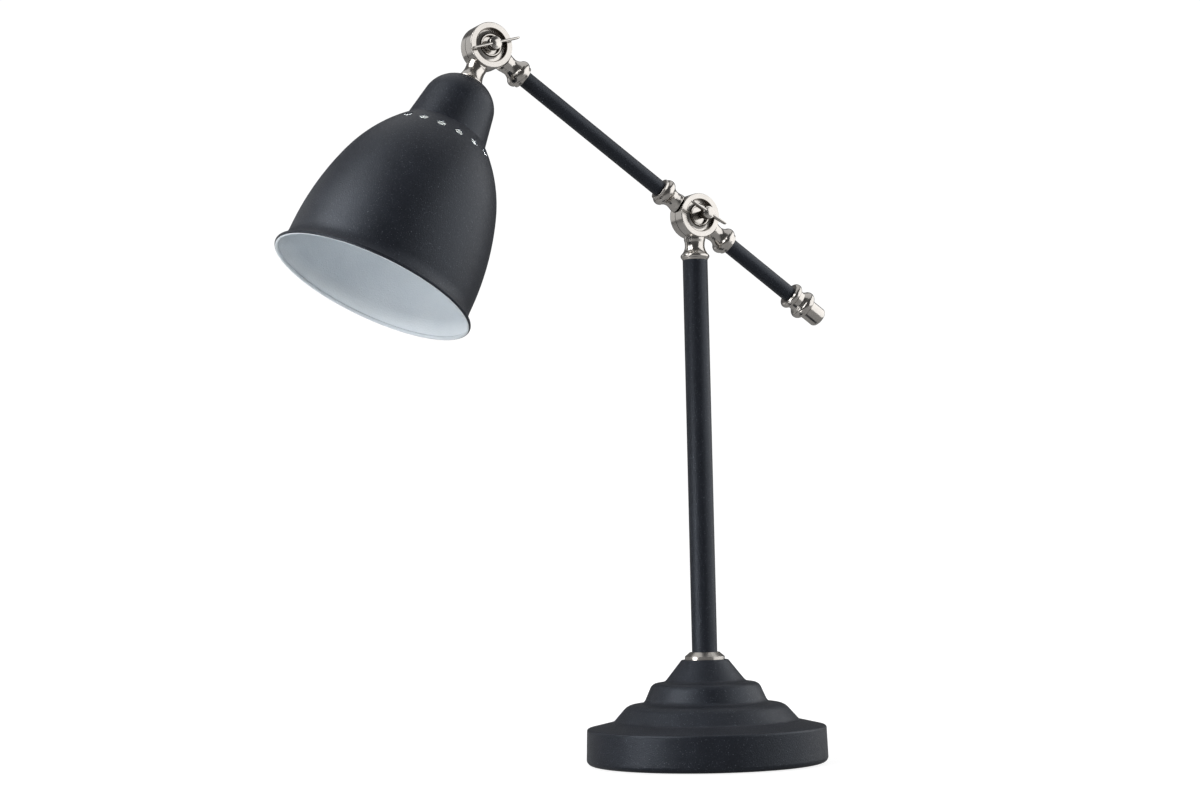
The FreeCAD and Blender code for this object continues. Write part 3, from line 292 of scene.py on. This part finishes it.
# Name, origin and axis of the lathe marks, whether it has painted shade and grime lines in its
# steps, and its nodes.
NICKEL_FINISHES = [
    ("post_nickel", PIVOT, UP, False, ["base_collar", "post_ferrule"]),
    ("arm_nickel", PIVOT, ARM_AXIS, False,
     ["upper_ferrule", "lower_ferrule", "head_ferrule", "counterweight", "counterweight_knob"]),
    ("middle_knuckle_nickel", PIVOT, ACROSS, True, ["post_knuckle", "arm_knuckle"]),
    ("head_knuckle_nickel", HEAD, ACROSS, True, ["shade_knuckle", "head_knuckle"]),
    ("middle_screw_nickel", PIVOT, ACROSS, False,
     ["arm_wing_screw", "arm_pressure_washer", "arm_pivot_nut"]),
    ("head_screw_nickel", HEAD, ACROSS, False,
     ["head_wing_screw", "head_pressure_washer", "head_pivot_nut"]),
]

paint(make_sand_paint(), "base_cover", "post_tube", "upper_tube", "lower_tube")
paint(make_shade_paint(), "shade")

nickels = {}
for name, origin, axis, shaded_steps, pieces in NICKEL_FINISHES:
    nickels[name] = make_turned_metal(name, origin, axis, NICKEL_DARK, NICKEL_LIGHT,
                                      NICKEL_ROUGHNESS, shaded_steps)
    paint(nickels[name], *pieces)

zinc = make_turned_metal("zinc_plate", PIVOT, UP, dark=(0.42, 0.43, 0.45, 1),
                         light=(0.55, 0.56, 0.57, 1), rough=(0.3, 0.42))
brass = make_turned_metal("brass", HEAD, SHADE_AXIS, dark=(0.55, 0.38, 0.16, 1),
                          light=(0.70, 0.52, 0.25, 1), rough=(0.17, 0.27))
paint(zinc, "base_plate", "plate_screws", "base_nipple", "nipple_nut", "nipple_washer",
      "post_plug", "shade_nipple", "shade_washer", "shade_nut")
paint(brass, "lampholder_thread", "lampholder_contact")
paint(make_plain("cast_iron", dark=(0.03, 0.03, 0.03, 1), light=(0.06, 0.06, 0.06, 1),
                 rough=(0.6, 0.8), scale=500, height=0.0002, metallic=0.6),
      "base_weight")
paint(make_plain("felt", dark=(0.012, 0.012, 0.014, 1), light=(0.03, 0.03, 0.033, 1),
                 rough=(0.9, 1.0), scale=1400, height=0.0004),
      "base_pad")
paint(make_plain("black_plastic", dark=(0.010, 0.010, 0.011, 1), light=(0.016, 0.016, 0.017, 1),
                 rough=(0.4, 0.5), scale=900, height=0.00003),
      "cord_bush", "arm_friction_washer", "head_friction_washer")
paint(make_plain("lead_sheath", dark=(0.012, 0.012, 0.013, 1), light=(0.02, 0.02, 0.021, 1),
                 rough=(0.45, 0.6), scale=700, height=0.00004),
      "post_lead", "arm_lead", "head_lead")
paint(make_plain("white_plastic", dark=(0.66, 0.66, 0.63, 1), light=(0.72, 0.72, 0.69, 1),
                 rough=(0.28, 0.38), scale=260, height=0.00002),
      "lampholder_cap", "lampholder_body")
paint(make_plain("porcelain", dark=(0.74, 0.73, 0.69, 1), light=(0.80, 0.79, 0.75, 1),
                 rough=(0.1, 0.2), scale=180, height=0.00002, coat=0.5),
      "lampholder_core")

# ---------------------------------------------------------------- detailed pieces

RING_POINTS = 48
QUARTER_TURN = [math.pi / 2 * step / 6 for step in range(7)]


def new_object(name, data):
    made = bpy.data.objects.new(name, data)
    bpy.context.scene.collection.objects.link(made)
    return made


def skin(shape, rings, capped=True):
    """Join rings of points, each with the same count, into one skin."""
    loops = [[shape.verts.new(point) for point in ring] for ring in rings]
    count = len(loops[0])
    for near, far in zip(loops, loops[1:]):
        for step in range(count):
            after = (step + 1) % count
            shape.faces.new((near[step], near[after], far[after], far[step]))
    if capped:
        shape.faces.new(loops[0][::-1])
        shape.faces.new(loops[-1])


def ring_about_y(radius, along):
    angles = [2 * math.pi * step / RING_POINTS for step in range(RING_POINTS)]
    return [Vector((radius * math.sin(angle), along, radius * math.cos(angle)))
            for angle in angles]


def finish_piece(name, shape, matrix, material, body, replaced):
    """Turn a bmesh into a smooth piece that stands for a CAD node."""
    bmesh.ops.recalc_face_normals(shape, faces=shape.faces)
    mesh = bpy.data.meshes.new(name)
    shape.to_mesh(mesh)
    shape.free()
    mesh.transform(matrix)
    mesh.materials.append(material)
    for face in mesh.polygons:
        face.use_smooth = True
    piece = new_object(name, mesh)
    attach(piece, body)
    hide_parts(replaced)
    return piece


# Distances along a screw are along +Y from the middle of its knuckle.
KNUCKLE_FACE = -0.0095
HUB_RADIUS = 0.0048
HUB_LENGTH = 0.007
HUB_DOME = 0.0012
HUB_EDGE = 0.0006
HUB_MIDDLE_RADIUS = 0.0002
DOME_STEPS = 8
SLEEVE_RADIUS = 0.003
SLEEVE_END = -0.0058
SHANK_RADIUS = 0.0025
SHANK_END = 0.0094
SHANK_CHAMFER = 0.0004
SHARP_EDGE = math.radians(50)

WING_FRONT = 0.0005
WING_ROOT = 0.0022
WING_DEPTH = 0.0054
WING_DEPTH_LOSS = 0.0022
WING_DEPTH_CURVE = 0.8
WING_THICKNESS = 0.0022
WING_THICKNESS_LOSS = 0.0006
WING_TIP_START = 0.88
WING_TIP_LENGTH = 0.12
WING_TIP_LEAST = 0.004
WING_SECTION_CURVE = 0.55
WING_STEPS = 24
WING_POINTS = 20


def section_point(wave):
    """Place across a wing's section, from -1 to 1, of a sine or cosine: flat sides, soft edges."""
    return math.copysign(abs(wave) ** WING_SECTION_CURVE, wave)


def wing_rings(tip, span):
    """Cross-sections of one wing: deep and thick at the hub, thin at its rounded tip."""
    reach = span / 2
    rings = []
    for step in range(WING_STEPS + 1):
        share = step / WING_STEPS
        out = WING_ROOT + (reach - WING_ROOT) * math.sin(share * math.pi / 2)
        along = (out - WING_ROOT) / (reach - WING_ROOT)
        rounding = 1 - max(along - WING_TIP_START, 0) ** 2 / WING_TIP_LENGTH ** 2
        end = math.sqrt(max(rounding, WING_TIP_LEAST))
        depth = WING_DEPTH - WING_DEPTH_LOSS * along ** WING_DEPTH_CURVE
        middle = tip + WING_FRONT + depth / 2
        thickness = WING_THICKNESS - WING_THICKNESS_LOSS * along
        ring = []
        for corner in range(WING_POINTS):
            angle = 2 * math.pi * corner / WING_POINTS
            across = section_point(math.cos(angle)) * (thickness * end) / 2
            deep = section_point(math.sin(angle)) * (depth * end) / 2
            ring.append(Vector((across, middle + deep, out)))
        rings.append(ring)
    return rings


def screw_profile(tip):
    """(radius, distance along) of the turned hub, shoulder and shank, from the tip back."""
    dome_radius = HUB_RADIUS - HUB_EDGE
    back = tip + HUB_LENGTH
    profile = [(HUB_MIDDLE_RADIUS, tip)]
    for step in range(1, DOME_STEPS):
        share = step / DOME_STEPS
        profile.append((share * dome_radius, tip + (HUB_DOME - HUB_EDGE / 2) * share ** 2))
    for angle in QUARTER_TURN:
        profile.append((dome_radius + HUB_EDGE * math.sin(angle),
                        tip + HUB_DOME + HUB_EDGE / 2 - HUB_EDGE * math.cos(angle)))
    for angle in QUARTER_TURN:
        profile.append((dome_radius + HUB_EDGE * math.cos(angle),
                        back - HUB_EDGE + HUB_EDGE * math.sin(angle)))
    profile += [(SLEEVE_RADIUS, back), (SLEEVE_RADIUS, SLEEVE_END), (SHANK_RADIUS, SLEEVE_END)]
    profile += [(SHANK_RADIUS, SHANK_END - SHANK_CHAMFER),
                (SHANK_RADIUS - SHANK_CHAMFER, SHANK_END)]
    return profile


def make_wing_screw(name, body, replaced, pivot, turn, standoff, span, material):
    """Wing screw with a rounded hub, soft-edged wings, a shank and its shoulder."""
    shape = bmesh.new()
    tip = KNUCKLE_FACE - standoff
    skin(shape, [ring_about_y(radius, along) for radius, along in screw_profile(tip)])
    wing = wing_rings(tip, span)
    skin(shape, wing)
    skin(shape, [[Vector((-point.x, point.y, -point.z)) for point in ring] for ring in wing])
    matrix = Matrix.Translation(pivot) @ Matrix.Rotation(math.radians(turn), 4, "Y")
    piece = finish_piece(name, shape, matrix, material, body, replaced)
    edges = piece.modifiers.new("edges", "EDGE_SPLIT")
    edges.split_angle = SHARP_EDGE


THREAD_START = 0.019
THREAD_LENGTH = 0.022
THREAD_RADIUS = 0.01375
THREAD_DEPTH = 0.00035
THREAD_PITCH = 0.00363
THREAD_SHEET = 0.0003
THREAD_ROWS = 84
THREAD_POINTS = 96


def make_thread_shell():
    """Rolled screw shell of the lampholder."""
    shape = bmesh.new()
    rings = []
    for row in range(THREAD_ROWS + 1):
        along = THREAD_LENGTH * row / THREAD_ROWS
        ring = []
        for step in range(THREAD_POINTS):
            angle = 2 * math.pi * step / THREAD_POINTS
            wave = math.cos(2 * math.pi * along / THREAD_PITCH - angle)
            radius = THREAD_RADIUS + THREAD_DEPTH * wave
            ring.append(Vector((radius * math.cos(angle), radius * math.sin(angle),
                                THREAD_START + along)))
        rings.append(ring)
    inner = [[Vector((point.x, point.y, 0)).normalized() * -THREAD_SHEET + point
              for point in ring] for ring in rings]
    skin(shape, rings + inner[::-1], capped=False)
    turn = Matrix((ACROSS.cross(SHADE_AXIS), ACROSS, SHADE_AXIS)).transposed().to_4x4()
    seat = HEAD + (SHADE_DROP + HOLDER_DROP) * SHADE_AXIS
    finish_piece("thread_shell", shape, Matrix.Translation(seat) @ turn, brass, "head",
                 "lampholder_thread")


make_wing_screw("arm_wing_screw_detail", "arm_screw", "arm_wing_screw", PIVOT,
                turn=118, standoff=0.014, span=0.034, material=nickels["middle_screw_nickel"])
make_wing_screw("head_wing_screw_detail", "head_screw", "head_wing_screw", HEAD,
                turn=73, standoff=0.008, span=0.041, material=nickels["head_screw_nickel"])
make_thread_shell()

# ---------------------------------------------------------------- camera

CAMERA_DISTANCE = 1.6
CAMERA_HEIGHT = 0.14328
CAMERA_AZIMUTH = math.radians(-31.877)
CAMERA_YAW = math.radians(2.668)
CAMERA_PITCH = math.radians(4.658)
CAMERA_ROLL = math.radians(-1.188)
CAMERA_FAR_LIMIT = 30
FOCAL_PIXELS = 2119.8
IMAGE_WIDTH = 1200
SENSOR_WIDTH = 36


def horizontal(azimuth):
    """Direction away from a viewer who stands at an azimuth: 0 looks along +Y."""
    return Vector((-math.sin(azimuth), math.cos(azimuth), 0))


def make_camera():
    """Camera at the photograph's angle, found by a perspective fit."""
    data = bpy.data.cameras.new("photo_camera")
    data.sensor_width = SENSOR_WIDTH
    data.lens = FOCAL_PIXELS / IMAGE_WIDTH * SENSOR_WIDTH
    data.clip_end = CAMERA_FAR_LIMIT
    camera = new_object("photo_camera", data)
    heading = CAMERA_AZIMUTH + CAMERA_YAW
    ahead = horizontal(heading) * math.cos(CAMERA_PITCH) + UP * math.sin(CAMERA_PITCH)
    right = Vector((math.cos(heading), math.sin(heading), 0))
    up = right.cross(ahead)
    rolled_right = math.cos(CAMERA_ROLL) * right + math.sin(CAMERA_ROLL) * up
    rolled_up = -math.sin(CAMERA_ROLL) * right + math.cos(CAMERA_ROLL) * up
    turn = Matrix((rolled_right, rolled_up, -ahead)).transposed().to_4x4()
    place = -CAMERA_DISTANCE * horizontal(CAMERA_AZIMUTH) + CAMERA_HEIGHT * UP
    camera.matrix_world = Matrix.Translation(place) @ turn
    bpy.context.scene.camera = camera


make_camera()

# ---------------------------------------------------------------- stage and light

WHITE = (1, 1, 1, 1)

FLOOR_SIZE = 12
FLOOR_LEVEL = -0.0002
FLOOR_DIFFUSE = (0.3, 0.3, 0.3, 1)
FLOOR_FADE = (0.25, 1.1)  # distances from the origin between which the glow changes
FLOOR_GLOW = (0.85, 1.05)
FLOOR_BOUNCE = 0.12

BACKGROUND_SEEN = 1.05
SURROUND_FADE = (-0.3, 0.6)  # cosines of the angle to the direction of the camera
SURROUND_LIGHT = (0.14, 0.09)

LAMP_MIDDLE = (0, 0, 0.3)
SHADE_MOUTH = (-0.25, 0, 0.38)

# Name, degrees round from the camera, distance, height, size, watts, and what it faces.
SOFTBOXES = [
    ("right_softbox", 93, 1.5, 0.65, (2.9, 2.1), 32, LAMP_MIDDLE),
    ("left_high_softbox", -58, 1.6, 1.45, (1.5, 1.2), 28, LAMP_MIDDLE),
    ("left_low_softbox", -60, 1.5, 0.45, (0.6, 0.9), 2.6, LAMP_MIDDLE),
    ("left_rear_softbox", -118, 1.5, 0.75, (0.7, 1.0), 1.4, LAMP_MIDDLE),
    ("top_softbox", 180, 0.5, 2.2, (2.2, 2.2), 10, LAMP_MIDDLE),
    ("shade_fill", -58, 0.75, 0.06, (0.3, 0.3), 1.9, SHADE_MOUTH),
]

NECK_SPOT_DISTANCE = 0.56
NECK_SPOT_WATTS = 15
NECK_SPOT_ANGLE = math.radians(11)
NECK_SPOT_BLEND = 0.6
NECK_SPOT_RADIUS = 0.01


def make_floor():
    """Pale floor that brightens outwards into the white background."""
    mesh = bpy.data.meshes.new("floor")
    shape = bmesh.new()
    bmesh.ops.create_grid(shape, x_segments=1, y_segments=1, size=FLOOR_SIZE)
    shape.to_mesh(mesh)
    shape.free()
    floor = new_object("floor", mesh)
    floor.location.z = FLOOR_LEVEL
    material, tree, shader = new_material("floor_white")
    glow = remap(tree, vector_maths(tree, "LENGTH", position(tree)), FLOOR_FADE, FLOOR_GLOW)
    strength = remap(tree, camera_ray(tree), (0, 1), (FLOOR_BOUNCE, glow))
    link(tree, strength, shader, "Emission Strength")
    shader.inputs["Emission Color"].default_value = WHITE
    shader.inputs["Base Color"].default_value = FLOOR_DIFFUSE
    shader.inputs["Roughness"].default_value = 1.0
    shader.inputs["Specular IOR Level"].default_value = 0.0
    mesh.materials.append(material)


def aim_light(name, data, place, direction):
    light = new_object(name, data)
    light.location = place
    light.rotation_euler = direction.to_track_quat("-Z", "Y").to_euler()


def make_softbox(name, azimuth, distance, height, size, watts, target):
    """Area light at an azimuth from the camera's own, facing a target."""
    data = bpy.data.lights.new(name, "AREA")
    data.shape = "RECTANGLE"
    data.size, data.size_y = size
    data.energy = watts
    from_lamp = -distance * horizontal(CAMERA_AZIMUTH + math.radians(azimuth))
    place = from_lamp + height * UP
    aim_light(name, data, place, Vector(target) - place)


def make_neck_spot():
    """Narrow spot up the shade's axis, so that its white neck shows through the vents."""
    data = bpy.data.lights.new("neck_spot", "SPOT")
    data.energy = NECK_SPOT_WATTS
    data.spot_size = NECK_SPOT_ANGLE
    data.spot_blend = NECK_SPOT_BLEND
    data.shadow_soft_size = NECK_SPOT_RADIUS
    aim_light("neck_spot", data, HEAD + NECK_SPOT_DISTANCE * SHADE_AXIS, -SHADE_AXIS)


def make_world():
    """White to the camera; to the lamp, dim in front and brighter behind."""
    world = bpy.data.worlds.new("studio")
    world.use_nodes = True
    bpy.context.scene.world = world
    tree = world.node_tree
    background = tree.nodes["Background"]
    direction = add(tree, "ShaderNodeTexCoord").outputs["Generated"]
    facing = vector_maths(tree, "DOT_PRODUCT", direction, -horizontal(CAMERA_AZIMUTH))
    surround = remap(tree, facing, SURROUND_FADE, SURROUND_LIGHT)
    seen = camera_ray(tree)
    strength = maths(tree, "ADD", maths(tree, "MULTIPLY", seen, BACKGROUND_SEEN),
                     maths(tree, "MULTIPLY", maths(tree, "SUBTRACT", 1.0, seen), surround))
    background.inputs["Color"].default_value = WHITE
    link(tree, strength, background, "Strength")


make_floor()
for softbox in SOFTBOXES:
    make_softbox(*softbox)
make_neck_spot()
make_world()
bpy.context.scene.view_settings.view_transform = "Standard"
bpy.context.scene.view_settings.look = "None"
